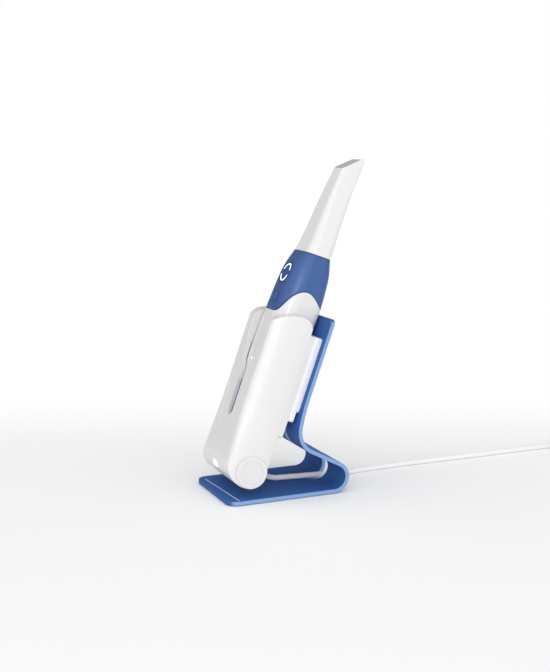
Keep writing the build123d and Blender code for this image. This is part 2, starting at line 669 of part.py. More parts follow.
board_front = BOARD_BACK + CIRCUIT_BOARD
stem_end = SWITCH_TOP + SWITCH_GAP
with BuildPart() as scan_key:
    extrude(key_outline(0), amount=BEYOND)
    add(body_form.part, mode=Mode.INTERSECT)
    split(bisect_by=FRONT.offset(KEY_BACK), keep=Keep.TOP)
    add(ring_light.part, mode=Mode.SUBTRACT)
    with BuildSketch(FRONT.offset(stem_end)):
        with Locations((0, SCAN_KEY_LEVEL)):
            Circle(STEM_DIAMETER / 2)
    extrude(amount=KEY_BACK - stem_end)
save(scan_key.part, "scan_key")

with BuildPart() as power_key:
    extrude(power_outline(0), amount=BEYOND)
    add(body_form.part, mode=Mode.INTERSECT)
    split(bisect_by=FRONT.offset(POWER_KEY_BACK), keep=Keep.TOP)
    with BuildSketch(FRONT.offset(stem_end)):
        with Locations((0, POWER_KEY_LEVEL)):
            Circle(STEM_DIAMETER / 2)
    extrude(amount=POWER_KEY_BACK - stem_end)
save(power_key.part, "power_key")

# Boards, battery, switches and light pipe inside the handle
optics_floor = NOSE_ROOT - OPTICS_PLATE
with BuildPart() as battery_pack:
    with BuildSketch(LEAN.offset(END_CAP_TOP)):
        with Locations((0, -(BATTERY_BACK + BATTERY_FRONT) / 2)):
            RectangleRounded(BATTERY_WIDTH, BATTERY_FRONT - BATTERY_BACK, BATTERY_CORNER)
    extrude(amount=BATTERY_LENGTH)
save(battery_pack.part, "battery_pack")

with BuildPart() as main_board:
    with BuildSketch(FRONT.offset(BOARD_BACK)):
        with Locations((0, (battery_top + optics_floor) / 2)):
            Rectangle(BOARD_WIDTH, optics_floor - battery_top)
    extrude(amount=CIRCUIT_BOARD)
save(main_board.part, "main_board")

key_bracket_top = SWITCH_TOP - SWITCH_HEIGHT
key_bracket_low = POWER_KEY_LEVEL - POWER_KEY_DIAMETER / 2
key_bracket_high = SCAN_KEY_LEVEL + SCAN_KEY_HEIGHT / 4
with BuildPart() as key_bracket:
    with BuildSketch(SIDE):
        with BuildLine():
            Polyline(
                (board_front, key_bracket_low),
                (key_bracket_top, key_bracket_low),
                (key_bracket_top, key_bracket_high),
                (board_front, key_bracket_high),
                (board_front, key_bracket_high - CIRCUIT_BOARD),
                (key_bracket_top - CIRCUIT_BOARD, key_bracket_high - CIRCUIT_BOARD),
                (key_bracket_top - CIRCUIT_BOARD, key_bracket_low + CIRCUIT_BOARD),
                (board_front, key_bracket_low + CIRCUIT_BOARD),
                close=True,
            )
        make_face()
    extrude(amount=KEY_BRACKET_WIDTH / 2, both=True)
save(key_bracket.part, "key_bracket")

with BuildPart() as key_switches:
    with BuildSketch(FRONT.offset(key_bracket_top)):
        with Locations((0, SCAN_KEY_LEVEL), (0, POWER_KEY_LEVEL)):
            Circle(SWITCH_DIAMETER / 2)
    extrude(amount=SWITCH_HEIGHT)
save(key_switches.part, "key_switches")

with BuildPart() as status_led:
    with BuildSketch(FRONT.offset(board_front)):
        with Locations((0, led_level)):
            Circle(LED_DIAMETER / 2)
    extrude(amount=BEYOND)
    add(body_form.part, mode=Mode.INTERSECT)
save(status_led.part, "status_led")

# Optics: a mounting plate under the nose, the camera and the projector on it
with BuildPart() as optics_plate:
    add(body_cavity.part)
    split(bisect_by=LEAN.offset(NOSE_ROOT), keep=Keep.BOTTOM)
    split(bisect_by=LEAN.offset(optics_floor), keep=Keep.TOP)
save(optics_plate.part, "optics_plate")

optics = ((-1, CAMERA_LENGTH, "camera_module"), (1, PROJECTOR_LENGTH, "light_projector"))
for side, length, name in optics:
    with BuildPart() as optic:
        with BuildSketch(LEAN.offset(NOSE_ROOT)):
            with Locations((side * OPTICS_PITCH / 2, -OPTICS_FORWARD)):
                Circle(OPTICS_DIAMETER / 2)
        extrude(amount=length)
    save(optic.part, name)

with BuildPart() as nose_tube:
    add(nose_form.part)
    add(nose_bore.part, mode=Mode.SUBTRACT)
save(nose_tube.part, "nose_tube")

with BuildPart() as nose_window:
    add(nose_bore.part)
    split(bisect_by=LEAN.offset(NOSE_END - WINDOW_GLASS), keep=Keep.TOP)
save(nose_window.part, "nose_window")

# Tip: a tapered sleeve with a slanted end, a mirror behind it and a window facing back
slant_front = Vector(*TIP_END_FRONT)
slant_back = Vector(*TIP_END_BACK)
slant = (slant_back - slant_front).normalized()
inward = Vector(-slant.Y, slant.X)
with BuildSketch(SIDE) as tip_profile:
    with BuildLine():
        clear = TIP_SECTIONS[0][2] + TIP_CROWN
        back_line = TIP_SECTIONS[-1][3] + TIP_BACK_TRIM
        heel = slant_front - slant * ((clear - slant_front.X) / -slant.X)
        crown = slant_back + slant * ((slant_back.X - back_line) / -slant.X)
        Polyline(
            (clear, 0), (heel.X, heel.Y), (crown.X, crown.Y), (back_line, 0), close=True
        )
    make_face()
    fillet(tip_profile.vertices().sort_by(Axis.Y)[-1], TIP_CROWN)

with BuildPart() as tip_cavity:
    loft_sections(TIP_SECTIONS, TIP_WALL)
    tip_inside = offset(tip_profile.sketch, amount=-TIP_WALL)
    extrude(tip_inside, amount=STAND_WIDTH, both=True, mode=Mode.INTERSECT)
with BuildPart() as tip_sleeve:
    loft_sections(TIP_SECTIONS)
    extrude(tip_profile.sketch, amount=STAND_WIDTH, both=True, mode=Mode.INTERSECT)
    add(tip_cavity.part, mode=Mode.SUBTRACT)
    with BuildSketch(FRONT.offset(-TIP_WALL)):
        with Locations((0, (SCAN_WINDOW_LOW + SCAN_WINDOW_HIGH) / 2)):
            RectangleRounded(SCAN_WINDOW_WIDTH, SCAN_WINDOW_HIGH - SCAN_WINDOW_LOW, TIP_WALL)
    extrude(amount=SCAN_WINDOW_DEPTH, mode=Mode.SUBTRACT)
save(tip_sleeve.part, "tip_sleeve")

mirror_low = slant_front + inward * TIP_WALL + slant * MIRROR_EDGE
mirror_high = slant_back + inward * TIP_WALL - slant * MIRROR_EDGE
mirror_corners = [
    mirror_low, mirror_high, mirror_high + inward * MIRROR_THICKNESS,
    mirror_low + inward * MIRROR_THICKNESS,
]
with BuildPart() as tip_mirror:
    with BuildSketch(SIDE):
        with BuildLine():
            Polyline([(corner.X, corner.Y) for corner in mirror_corners], close=True)
        make_face()
    extrude(amount=MIRROR_WIDTH / 2, both=True)
save(tip_mirror.part, "tip_mirror")

# Charging lead: from the gland through the cable slot and along the table to its coil
lead_exit = barrel_centre + gland_line * (BARREL_RADIUS + GLAND_LENGTH)
lead_route = [lead_exit, lead_exit + gland_line * LEAD_FIRST_RUN]
lead_route += [Vector(*corner) for corner in LEAD_CORNERS]
lead_radii = corner_radii(lead_route)
print("lead radii", [round(radius) for radius in lead_radii])
with BuildPart() as cable:
    with BuildLine() as lead_line:
        FilletPolyline(*lead_route, radius=lead_radii)
    with BuildSketch(lead_line.line ^ 0):
        Circle(CABLE_DIAMETER / 2)
    sweep()
save(cable.part, "cable")
lead_length = sum(edge.length for edge in lead_line.edges())
lead_share = cable.part.volume / (lead_length * pi * LEAD_TABLE**2)
print("lead length", round(lead_length), "volume over section x length", round(lead_share, 4))

# Rest of the lead as one ring, with the last corner of the lead in its outer lane
outer_lane = COIL_OUTER - CABLE_DIAMETER / 2
coil_reach = (COIL_OUTER**2 - outer_lane**2) ** 0.5
coil_centre = lead_route[-1] + Vector(outer_lane, coil_reach, 0)
with BuildPart() as cable_coil:
    with BuildSketch(Plane.XY):
        with Locations((coil_centre.X, coil_centre.Y)):
            Circle(COIL_OUTER)
            Circle(COIL_OUTER - COIL_BUILD, mode=Mode.SUBTRACT)
    extrude(amount=COIL_HEIGHT)
    fillet(cable_coil.edges(), COIL_BUILD / 4)
save(cable_coil.part, "cable_coil")

plug_reach = (COIL_OUTER**2 - (outer_lane - PLUG_GRIP_WIDTH / 2) ** 2) ** 0.5
plug_back = coil_centre + Vector(plug_reach + HOLE_FIT, outer_lane, PLUG_GRIP_HEIGHT / 2 - LEAD_TABLE)
PLUG = Plane(origin=plug_back, x_dir=(0, 1, 0), z_dir=(1, 0, 0))
with BuildPart() as usb_plug_grip:
    with BuildSketch(PLUG):
        RectangleRounded(PLUG_GRIP_WIDTH, PLUG_GRIP_HEIGHT, PLUG_GRIP_HEIGHT / 4)
    extrude(amount=PLUG_GRIP_LENGTH)
save(usb_plug_grip.part, "usb_plug_grip")
with BuildPart() as usb_plug_shell:
    with BuildSketch(PLUG.offset(PLUG_GRIP_LENGTH)):
        Rectangle(PLUG_SHELL_WIDTH, PLUG_SHELL_HEIGHT)
    extrude(amount=PLUG_SHELL_LENGTH)
    with BuildSketch(PLUG.offset(PLUG_GRIP_LENGTH + PLUG_SHELL_LENGTH)):
        with Locations((0, PLUG_HOLLOW_RISE)):
            Rectangle(PLUG_SHELL_WIDTH - 2 * PLUG_SHELL_WALL, PLUG_HOLLOW_HEIGHT)
    extrude(amount=-PLUG_HOLLOW_DEPTH, mode=Mode.SUBTRACT)
save(usb_plug_shell.part, "usb_plug_shell")
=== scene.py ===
"""Looks of a wireless intraoral scanner in its charging cradle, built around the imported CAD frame.

Everything stands in the frame of the part: +Z up, the scanner's keys towards -Y. Sizes are in metres, but for
those of the stand's printed line and of the charging lead, which are in millimetres.
"""

import logging
import math
from dataclasses import dataclass, field
from enum import Enum, IntEnum
from typing import ClassVar

import bmesh
import bpy
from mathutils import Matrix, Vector


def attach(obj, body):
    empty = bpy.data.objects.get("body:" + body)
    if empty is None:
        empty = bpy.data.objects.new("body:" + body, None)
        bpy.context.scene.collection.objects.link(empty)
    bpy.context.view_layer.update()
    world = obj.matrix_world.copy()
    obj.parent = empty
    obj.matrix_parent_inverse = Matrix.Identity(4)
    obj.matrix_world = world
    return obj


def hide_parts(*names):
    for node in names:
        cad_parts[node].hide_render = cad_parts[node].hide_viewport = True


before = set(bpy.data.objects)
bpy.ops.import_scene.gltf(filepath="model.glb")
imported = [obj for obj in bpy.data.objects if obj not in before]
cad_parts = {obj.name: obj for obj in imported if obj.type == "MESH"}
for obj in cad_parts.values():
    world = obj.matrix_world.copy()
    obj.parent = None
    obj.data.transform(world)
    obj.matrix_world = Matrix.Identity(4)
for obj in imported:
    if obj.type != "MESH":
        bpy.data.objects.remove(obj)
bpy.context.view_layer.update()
LOG = logging.getLogger("scanner")

Colour = tuple[float, float, float]
Place = tuple[float, float, float]
Range = tuple[float, float]

MM = 0.001
ACROSS = (1.0, 0.0, 0.0)
# The scanner leans with the stand's back sheet, and its levels count from the upper end of that sheet
LEAN = math.radians(19.87)
ALONG = (0.0, math.sin(LEAN), math.cos(LEAN))
FORWARD = (0.0, -math.cos(LEAN), math.sin(LEAN))
LEVEL_ZERO = 162.075 * MM


class Signal:
    """A shader socket that takes part in arithmetic, adding its Math nodes as it goes."""

    def __init__(self, graph: "Graph", socket: bpy.types.NodeSocket | None) -> None:
        """Wrap an output socket of a graph, or nothing for a node that has no output."""
        self.graph = graph
        self.socket = socket

    def _math(self, operation: str, first: "Signal | float", second: "Signal | float") -> "Signal":
        """Return the output of a new Math node."""
        return self.graph.node("Math", {"operation": operation}, {0: first, 1: second})

    def __add__(self, other: "Signal | float") -> "Signal":
        """Return self + other."""
        return self._math("ADD", self, other)

    def __radd__(self, other: float) -> "Signal":
        """Return other + self."""
        return self._math("ADD", other, self)

    def __sub__(self, other: "Signal | float") -> "Signal":
        """Return self - other."""
        return self._math("SUBTRACT", self, other)

    def __rsub__(self, other: float) -> "Signal":
        """Return other - self."""
        return self._math("SUBTRACT", other, self)

    def __mul__(self, other: "Signal | float") -> "Signal":
        """Return self * other."""
        return self._math("MULTIPLY", self, other)

    def __rmul__(self, other: float) -> "Signal":
        """Return other * self."""
        return self._math("MULTIPLY", other, self)

    def __pow__(self, other: "Signal | float") -> "Signal":
        """Return self ** other."""
        return self._math("POWER", self, other)

    def __rpow__(self, other: float) -> "Signal":
        """Return other ** self."""
        return self._math("POWER", other, self)

    def __gt__(self, other: "Signal | float") -> "Signal":
        """Return 1 where self > other, else 0."""
        return self._math("GREATER_THAN", self, other)

    def __lt__(self, other: "Signal | float") -> "Signal":
        """Return 1 where self < other, else 0."""
        return self._math("LESS_THAN", self, other)

    def __abs__(self) -> "Signal":
        """Return the size of self."""
        return self._math("ABSOLUTE", self, 0.0)

    def at_least(self, other: "Signal | float") -> "Signal":
        """Return the greater of self and other."""
        return self._math("MAXIMUM", self, other)

    def ease(self, low: float, high: float) -> "Signal":
        """Return a signal that rises smoothly from 0 at the low level to 1 at the high one."""
        sockets = {"Value": self, "From Min": low, "From Max": high}
        return self.graph.node("MapRange", {"interpolation_type": "SMOOTHSTEP"}, sockets)


class ColourMix(IntEnum):
    """Sockets of a Mix node that mixes colours: its three inputs and its output."""

    MASK = 0
    BELOW = 6
    ABOVE = 7
    BLENDED = 2


class Graph:
    """The node tree of a material or of the world."""

    def __init__(self, owner: bpy.types.Material | bpy.types.World) -> None:
        """Start with an empty tree.

        Args:
            owner: The material or world that has the tree.
        """
        owner.use_nodes = True
        self.tree = owner.node_tree
        self.tree.nodes.clear()

    def node(
        self,
        kind: str,
        settings: dict[str, object] | None = None,
        sockets: dict[int | str, object] | None = None,
        output: int | str = 0,
    ) -> Signal:
        """Add one node.

        Args:
            kind: The node's type without its ShaderNode prefix.
            settings: Properties, which are set before its sockets.
            sockets: Values, colours or signals by input name or number.
            output: The output that is wrapped.

        Returns:
            The wanted output of the new node.
        """
        made = self.tree.nodes.new("ShaderNode" + kind)
        for key, value in (settings or {}).items():
            setattr(made, key, value)
        for key, value in (sockets or {}).items():
            if isinstance(value, Signal):
                self.tree.links.new(value.socket, made.inputs[key])
            else:
                made.inputs[key].default_value = value
        return Signal(self, made.outputs[output] if made.outputs else None)

    def dot(self, vector: Signal, direction: Place) -> Signal:
        """Return how far a vector goes in a direction."""
        return self.node("VectorMath", {"operation": "DOT_PRODUCT"}, {0: vector, 1: direction}, "Value")

    def object_place(self) -> Signal:
        """Return the surface point in the object's own coordinates."""
        return self.node("TexCoord", output="Object")

    def reach(self, direction: Place) -> Signal:
        """Return how far the surface point lies from the origin in a direction."""
        return self.dot(self.object_place(), direction)

    def facing(self, direction: Place) -> Signal:
        """Return how far the surface faces a direction, from -1 to 1."""
        return self.dot(self.node("NewGeometry", output="True Normal"), direction)

    def noise(self, scale: float, octaves: float) -> Signal:
        """Return a noise over the object, about 0.5, with so many grains to the metre."""
        sockets = {"Vector": self.object_place(), "Scale": scale, "Detail": octaves}
        return self.node("TexNoise", None, sockets, "Fac")

    def blend(self, below: Colour | Signal, above: Colour, mask: Signal) -> Signal:
        """Lay one colour over another.

        Args:
            below: The colour where the mask is 0.
            above: The colour where the mask is 1.
            mask: The mask.

        Returns:
            The blended colour.
        """
        first = below if isinstance(below, Signal) else opaque(below)
        sockets = {ColourMix.MASK: mask, ColourMix.BELOW: first, ColourMix.ABOVE: opaque(above)}
        return self.node("Mix", {"data_type": "RGBA"}, sockets, ColourMix.BLENDED)


def opaque(colour: Colour) -> tuple[float, float, float, float]:
    """Return a colour with full alpha."""
    return (*colour, 1.0)


def shade(colour: Colour, factor: float) -> Colour:
    """Return a colour with each channel times a factor, kept under 1."""
    return tuple(min(1.0, channel * factor) for channel in colour)


def grey(level: float) -> Colour:
    """Return a grey with all its channels at one level."""
    return (level, level, level)


class Grain(Enum):
    """Fine relief of a moulded or coated surface: grains to the metre."""

    SATIN = 2600.0
    EGGSHELL = 1500.0
    ORANGE_PEEL = 700.0
    BRUSHED = 3200.0


@dataclass(frozen=True)
class Finish:
    """A surface finish that the nodes of one or more record slots share."""

    # Every finish drifts in colour and roughness with soft clouds, this many to the metre
    CLOUDS: ClassVar[float] = 22.0
    OCTAVES: ClassVar[float] = 2.0
    ROUGHNESS_DRIFT: ClassVar[float] = 0.15
    RELIEF_STRENGTH: ClassVar[float] = 0.6
    COAT_ROUGHNESS: ClassVar[float] = 0.12
    EDGE_SAMPLES: ClassVar[int] = 4

    name: str
    colour: Colour
    roughness: float
    grain: Grain = Grain.SATIN
    relief: float = 0.01 * MM
    mottle: float = 0.04
    metallic: float = 0.0
    coat: float = 0.0
    rounding: float = 0.4 * MM
    specular: float = 0.5
    transmission: float = 0.0
    glow: float = 0.0

    def paint(self, graph: Graph, drift: Signal) -> Signal:
        """Colour the surface, a little darker and lighter in soft clouds.

        Args:
            graph: The material's graph.
            drift: The clouds.

        Returns:
            The surface's colour.
        """
        light = shade(self.colour, 1.0 + self.mottle)
        dark = shade(self.colour, 1.0 - self.mottle)
        return graph.blend(light, dark, drift)

    def material(self) -> bpy.types.Material:
        """Build the finish as a procedural material.

        Returns:
            The new material.
        """
        material = bpy.data.materials.new(self.name)
        graph = Graph(material)
        drift = graph.noise(self.CLOUDS, self.OCTAVES)
        fine = graph.noise(self.grain.value, self.OCTAVES)
        steady = 1.0 - self.ROUGHNESS_DRIFT
        edges = graph.node("Bevel", {"samples": self.EDGE_SAMPLES}, {"Radius": self.rounding})
        bump = {"Strength": self.RELIEF_STRENGTH, "Distance": self.relief, "Height": fine, "Normal": edges}
        surface = {
            "Base Color": self.paint(graph, drift),
            "Roughness": self.roughness * (steady + (drift + fine) * self.ROUGHNESS_DRIFT),
            "Metallic": self.metallic,
            "Coat Weight": self.coat,
            "Coat Roughness": self.COAT_ROUGHNESS,
            "Specular IOR Level": self.specular,
            "Transmission Weight": self.transmission,
            "Normal": graph.node("Bump", None, bump),
            "Emission Color": opaque(self.colour),
            "Emission Strength": self.glow,
        }
        shader = graph.node("BsdfPrincipled", None, surface)
        graph.node("OutputMaterial", None, {"Surface": shader})
        return material


@dataclass(frozen=True)
class TwoToneFinish(Finish):
    """A finish with a second colour where its mask is 1."""

    second: Colour = grey(0.5)

    def mask(self, graph: Graph) -> Signal:
        """Return 1 where the second colour shows, else 0."""
        raise NotImplementedError

    def paint(self, graph: Graph, drift: Signal) -> Signal:
        """Colour the surface in its soft clouds, with the second colour laid over its mask."""
        return graph.blend(super().paint(graph, drift), self.second, self.mask(graph))


@dataclass(frozen=True)
class EdgeHighlightSheetFinish(TwoToneFinish):
    """A coated sheet with a painted highlight: its cut edges to the left and right take a lighter blue."""

    sideways: Range = (0.6, 0.95)

    def mask(self, graph: Graph) -> Signal:
        """Return 1 on the sheet's cut edges, where the highlight is painted."""
        return abs(graph.facing(ACROSS)).ease(*self.sideways)


@dataclass(frozen=True)
class TipFinish(TwoToneFinish):
    """A tip with a greyer slanted end, which tilts forward by so many degrees."""

    tilt: float = 21.07
    squarely: Range = (0.90, 0.98)

    def mask(self, graph: Graph) -> Signal:
        """Return 1 on the tip's slanted end."""
        tilt = math.radians(self.tilt)
        return graph.facing((0.0, -math.sin(tilt), math.cos(tilt))).ease(*self.squarely)


@dataclass(frozen=True)
class SlotShadeHandleFinish(TwoToneFinish):
    """A handle with a strip of painted shade low on its front, where it is seen through the cradle's slot."""

    half_width: float = 6.0 * MM
    top: float = -75.0 * MM
    frontal: float = 0.5

    def mask(self, graph: Graph) -> Signal:
        """Find the strip of painted shade.

        Args:
            graph: The material's graph.

        Returns:
            1 on the strip, else 0.
        """
        narrow = abs(graph.reach(ACROSS)) < self.half_width
        low = graph.reach(ALONG) < LEVEL_ZERO + self.top
        return narrow * low * (graph.facing(FORWARD) > self.frontal)


@dataclass(frozen=True)
class PowerKeyFinish(TwoToneFinish):
    """A key with a printed power sign: an open ring with a short bar in its gap."""

    middle: float = 4.5 * MM
    ring: float = 2.5 * MM
    line: float = 0.32 * MM
    gap: float = 1.0 * MM

    def mask(self, graph: Graph) -> Signal:
        """Draw the printed sign.

        Args:
            graph: The material's graph.

        Returns:
            1 on the sign, else 0.
        """
        across = graph.reach(ACROSS)
        up = graph.reach(ALONG) - (LEVEL_ZERO + self.middle)
        spread = (across * across + up * up) ** 0.5
        ring = abs(spread - self.ring) < self.line
        beside = (abs(across) > self.gap).at_least(up < 0.0)
        bar = (abs(across) < self.line) * (abs(up - self.ring) < self.gap)
        return (ring * beside).at_least(bar)


BLUE = (0.024, 0.093, 0.305)
SHEET_BLUE = (0.041, 0.125, 0.368)
KEY_BLUE = shade(BLUE, 0.95)
WHITE = (0.750, 0.741, 0.748)
TIP_WHITE = shade(WHITE, 1.05)
BLACK = (0.02, 0.02, 0.024)
LENS_BLACK = (0.02, 0.02, 0.022)
KEY_GLOSS = {"roughness": 0.38, "mottle": 0.02, "metallic": 0.3, "specular": 0.6}

FINISHES = {
    "blue_sheet": EdgeHighlightSheetFinish(
        "powder_coat", SHEET_BLUE, roughness=0.5, grain=Grain.ORANGE_PEEL, relief=0.02 * MM, specular=0.05,
        # The lighter blue on the cut edges is a painted highlight
        second=(0.23, 0.37, 0.65),
    ),
    "grey_pad": Finish("silicone_pad", (0.08, 0.085, 0.095), roughness=0.8, grain=Grain.EGGSHELL),
    # The bracket's white is lighter than the shell's: painted light, which makes up for the shade it stands
    # in
    "white_bracket": Finish("bracket_moulding_painted_light", (0.92, 0.915, 0.92), roughness=0.42, mottle=0.01),
    "white_shell": Finish("shell_moulding", WHITE, roughness=0.32, mottle=0.01, coat=0.15),
    "screw_steel": Finish(
        "screw_steel", (0.55, 0.56, 0.58), roughness=0.3, grain=Grain.BRUSHED, metallic=1.0
    ),
    "grey_moulding": Finish("seat_moulding", (0.25, 0.26, 0.28), roughness=0.5, grain=Grain.EGGSHELL),
    "black_moulding": Finish("inner_moulding", BLACK, roughness=0.5, grain=Grain.EGGSHELL),
    "gold_contact": Finish(
        "gold_contact", (0.9, 0.62, 0.25), roughness=0.22, grain=Grain.BRUSHED, metallic=1.0
    ),
    "green_board": Finish("board_lacquer", (0.015, 0.12, 0.05), roughness=0.35, grain=Grain.EGGSHELL),
    "cable_white": Finish("cable_jacket", (0.86, 0.85, 0.86), roughness=0.5, mottle=0.01),
    "plug_steel": Finish(
        "plug_steel", (0.62, 0.63, 0.65), roughness=0.28, grain=Grain.BRUSHED, metallic=1.0
    ),
    # The handle's dark strip is painted shade: the dark of the cradle's slot, laid on the handle
    "handle_white": SlotShadeHandleFinish(
        "handle_moulding", WHITE, roughness=0.26, mottle=0.01, coat=0.25, second=(0.04, 0.09, 0.26)
    ),
    "blue_collar": Finish(
        "collar_coat", BLUE, roughness=0.37, mottle=0.02, metallic=0.25, specular=0.9, rounding=4.0 * MM
    ),
    "ring_white": Finish("ring_light", (0.9, 0.92, 0.96), roughness=0.3, mottle=0.01, glow=1.0),
    "blue_key": Finish("key_coat", KEY_BLUE, **KEY_GLOSS),
    "power_key": PowerKeyFinish("power_key_coat", KEY_BLUE, **KEY_GLOSS, second=(0.22, 0.28, 0.42)),
    "print_white": Finish("printed_ink", (0.86, 0.87, 0.88), roughness=0.5, mottle=0.01),
    "battery_wrap": Finish("battery_wrap", (0.03, 0.04, 0.07), roughness=0.3, grain=Grain.EGGSHELL),
    "led_clear": Finish("status_light", (0.92, 0.94, 0.97), roughness=0.35, glow=0.5),
    "lens_black": Finish("lens_barrel", LENS_BLACK, roughness=0.35, grain=Grain.BRUSHED, metallic=0.6),
    "nose_black": Finish("nose_moulding", LENS_BLACK, roughness=0.45, grain=Grain.EGGSHELL),
    "optical_glass": Finish(
        "optical_glass", (0.9, 0.95, 1.0), roughness=0.05, relief=0.0, mottle=0.0, transmission=1.0
    ),
    "tip_white": TipFinish(
        "tip_moulding", TIP_WHITE, roughness=0.3, mottle=0.01, coat=0.2, second=(0.50, 0.49, 0.51)
    ),
    "tip_mirror": Finish("tip_mirror", (0.9, 0.91, 0.92), roughness=0.04, mottle=0.0, metallic=1.0),
}


@dataclass
class Wardrobe:
    """Builds each finish once and gives it to the pieces that wear it."""

    made: dict[str, bpy.types.Material] = field(default_factory=dict)

    def finish(self, name: str) -> bpy.types.Material:
        """Build a finish on its first use.

        Args:
            name: The finish's name in the table.

        Returns:
            Its material.
        """
        if name not in self.made:
            self.made[name] = FINISHES[name].material()
        return self.made[name]

    def dress(self, piece: bpy.types.Object, name: str) -> None:
        """Give a piece the finish of that name."""
        piece.data.materials.clear()
        piece.data.materials.append(self.finish(name))


def add_object(name: str, data: bpy.types.ID) -> bpy.types.Object:
    """Add an object to the scene.

    Args:
        name: Its name.
        data: Its mesh, curve, lamp or camera.

    Returns:
        The new object.
    """
    made = bpy.data.objects.new(name, data)
    bpy.context.scene.collection.objects.link(made)
    return made


def add_form(name: str, form: bmesh.types.BMesh) -> bpy.types.Object:
    """Add a finished form to the scene as a mesh.

    Args:
        name: The name of the mesh and its object.
        form: The form, which is used up.

    Returns:
        The new object.
    """
    mesh = bpy.data.meshes.new(name)
    form.to_mesh(mesh)
    form.free()
    return add_object(name, mesh)


@dataclass
class Assembly:
    """CAD nodes that belong together, each with its finish."""

    nodes: ClassVar[dict[str, str]] = {}

    wardrobe: Wardrobe

    def build(self) -> list[bpy.types.Object]:
        """Dress each node of the assembly in its finish.

        Returns:
            The dressed pieces.
        """
        for node, name in self.nodes.items():
            self.wardrobe.dress(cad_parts[node], name)
        return [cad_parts[node] for node in self.nodes]


@dataclass
class ChargingLead(Assembly):
    """The free charging lead: along the table, into its coil and out to its plug.

    Its sizes are in millimetres, but for the rise to the coil's upper layer, which is in diameters.
    """

    nodes: ClassVar[dict[str, str]] = {
        "usb_plug_grip": "cable_white",
        "usb_plug_shell": "plug_steel",
    }

    diameter: float = 5.0
    length: float = 1470.0
    coil_middle: tuple[float, float] = (26.5, 344.56)
    outer_lane: float = 35.5
    layer_rise: float = 1.05
    turns_inward: float = 3.0
    turns_outward: float = 3.25
    points_per_turn: int = 16
    out_of_coil: float = 9.0
    into_plug: float = 8.0
    hump_before_plug: float = 0.6
    plug_back: Place = (52.93, 380.06, 4.0)
    route: tuple[Place, ...] = (
        (0.0, -13.606, 14.957),
        (0.0, -1.828, 8.157),
        (-0.5, 15.0, 7.4),
        (0.4, 33.0, 6.9),
        (-0.6, 50.0, 6.0),
        (-3.4, 67.0, 3.0),
        (-8.6, 86.0, 2.5),
        (-10.8, 116.0, 2.5),
        (-11.5, 164.0, 2.5),
        (-10.2, 218.0, 2.5),
        (-10.7, 276.0, 2.5),
        (-9.0, 331.0, 2.5),
    )
    spline_order: int = 3
    spline_steps: int = 8
    bevel_steps: int = 6

    def coil_point(self, turn: float, lane: float, height: float) -> Place:
        """Place one point of the coil.

        Args:
            turn: The turns from the coil's start.
            lane: The point's distance from the coil's middle.
            height: Its height over the table.

        Returns:
            The point.
        """
        angle = math.pi - turn * math.tau
        across = self.coil_middle[0] + lane * math.cos(angle)
        along = self.coil_middle[1] + lane * math.sin(angle)
        return across, along, height

    def coil_points(self) -> list[Place]:
        """Wind inwards on the table, climb in the last turn there, and wind outwards on top.

        Returns:
            The coil's control points.
        """
        points = []
        rise = self.diameter * self.layer_rise
        turns = self.turns_inward + self.turns_outward
        for step in range(round(turns * self.points_per_turn) + 1):
            turn = step / self.points_per_turn
            inward = min(turn, self.turns_inward)
            outward = max(0.0, turn - self.turns_inward) * self.turns_inward / self.turns_outward
            lane = self.outer_lane + self.diameter * (outward - inward)
            climb = min(1.0, max(0.0, turn - self.turns_inward + 1.0))
            points.append(self.coil_point(turn, lane, self.diameter / 2 + rise * climb))
        return points

    def control_points(self) -> list[Place]:
        """Follow the whole lead from its gland to its plug.

        Returns:
            Its control points.
        """
        coil = self.coil_points()
        across, along, height = coil[-1]
        plug_across, plug_along, plug_height = self.plug_back
        tail = (across + self.out_of_coil, along, height)
        approach = (plug_across - self.into_plug, plug_along, plug_height + self.hump_before_plug)
        return [*self.route, *coil[1:], tail, approach, self.plug_back]

    def lay(self) -> bpy.types.Object:
        """Lay the lead as one smooth curve.

        Returns:
            The lead.
        """
        points = self.control_points()
        curve = bpy.data.curves.new("charging_lead", "CURVE")
        curve.dimensions = "3D"
        curve.bevel_depth = self.diameter / 2 * MM
        curve.bevel_resolution = self.bevel_steps
        curve.use_fill_caps = True
        spline = curve.splines.new("NURBS")
        spline.points.add(len(points) - 1)
        for point, place in zip(spline.points, points):
            point.co = (*(value * MM for value in place), 1.0)
        spline.order_u = self.spline_order
        spline.use_endpoint_u = True
        spline.resolution_u = self.spline_steps
        return add_object("charging_lead", curve)

    def build(self) -> list[bpy.types.Object]:
        """Returns:
            The lead and the pieces of its plug.
        """
        lead = self.lay()
        plug = super().build()
        self.wardrobe.dress(lead, "cable_white")
        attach(lead, "stand")
        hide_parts("cable", "cable_coil")
        return [lead, *plug]


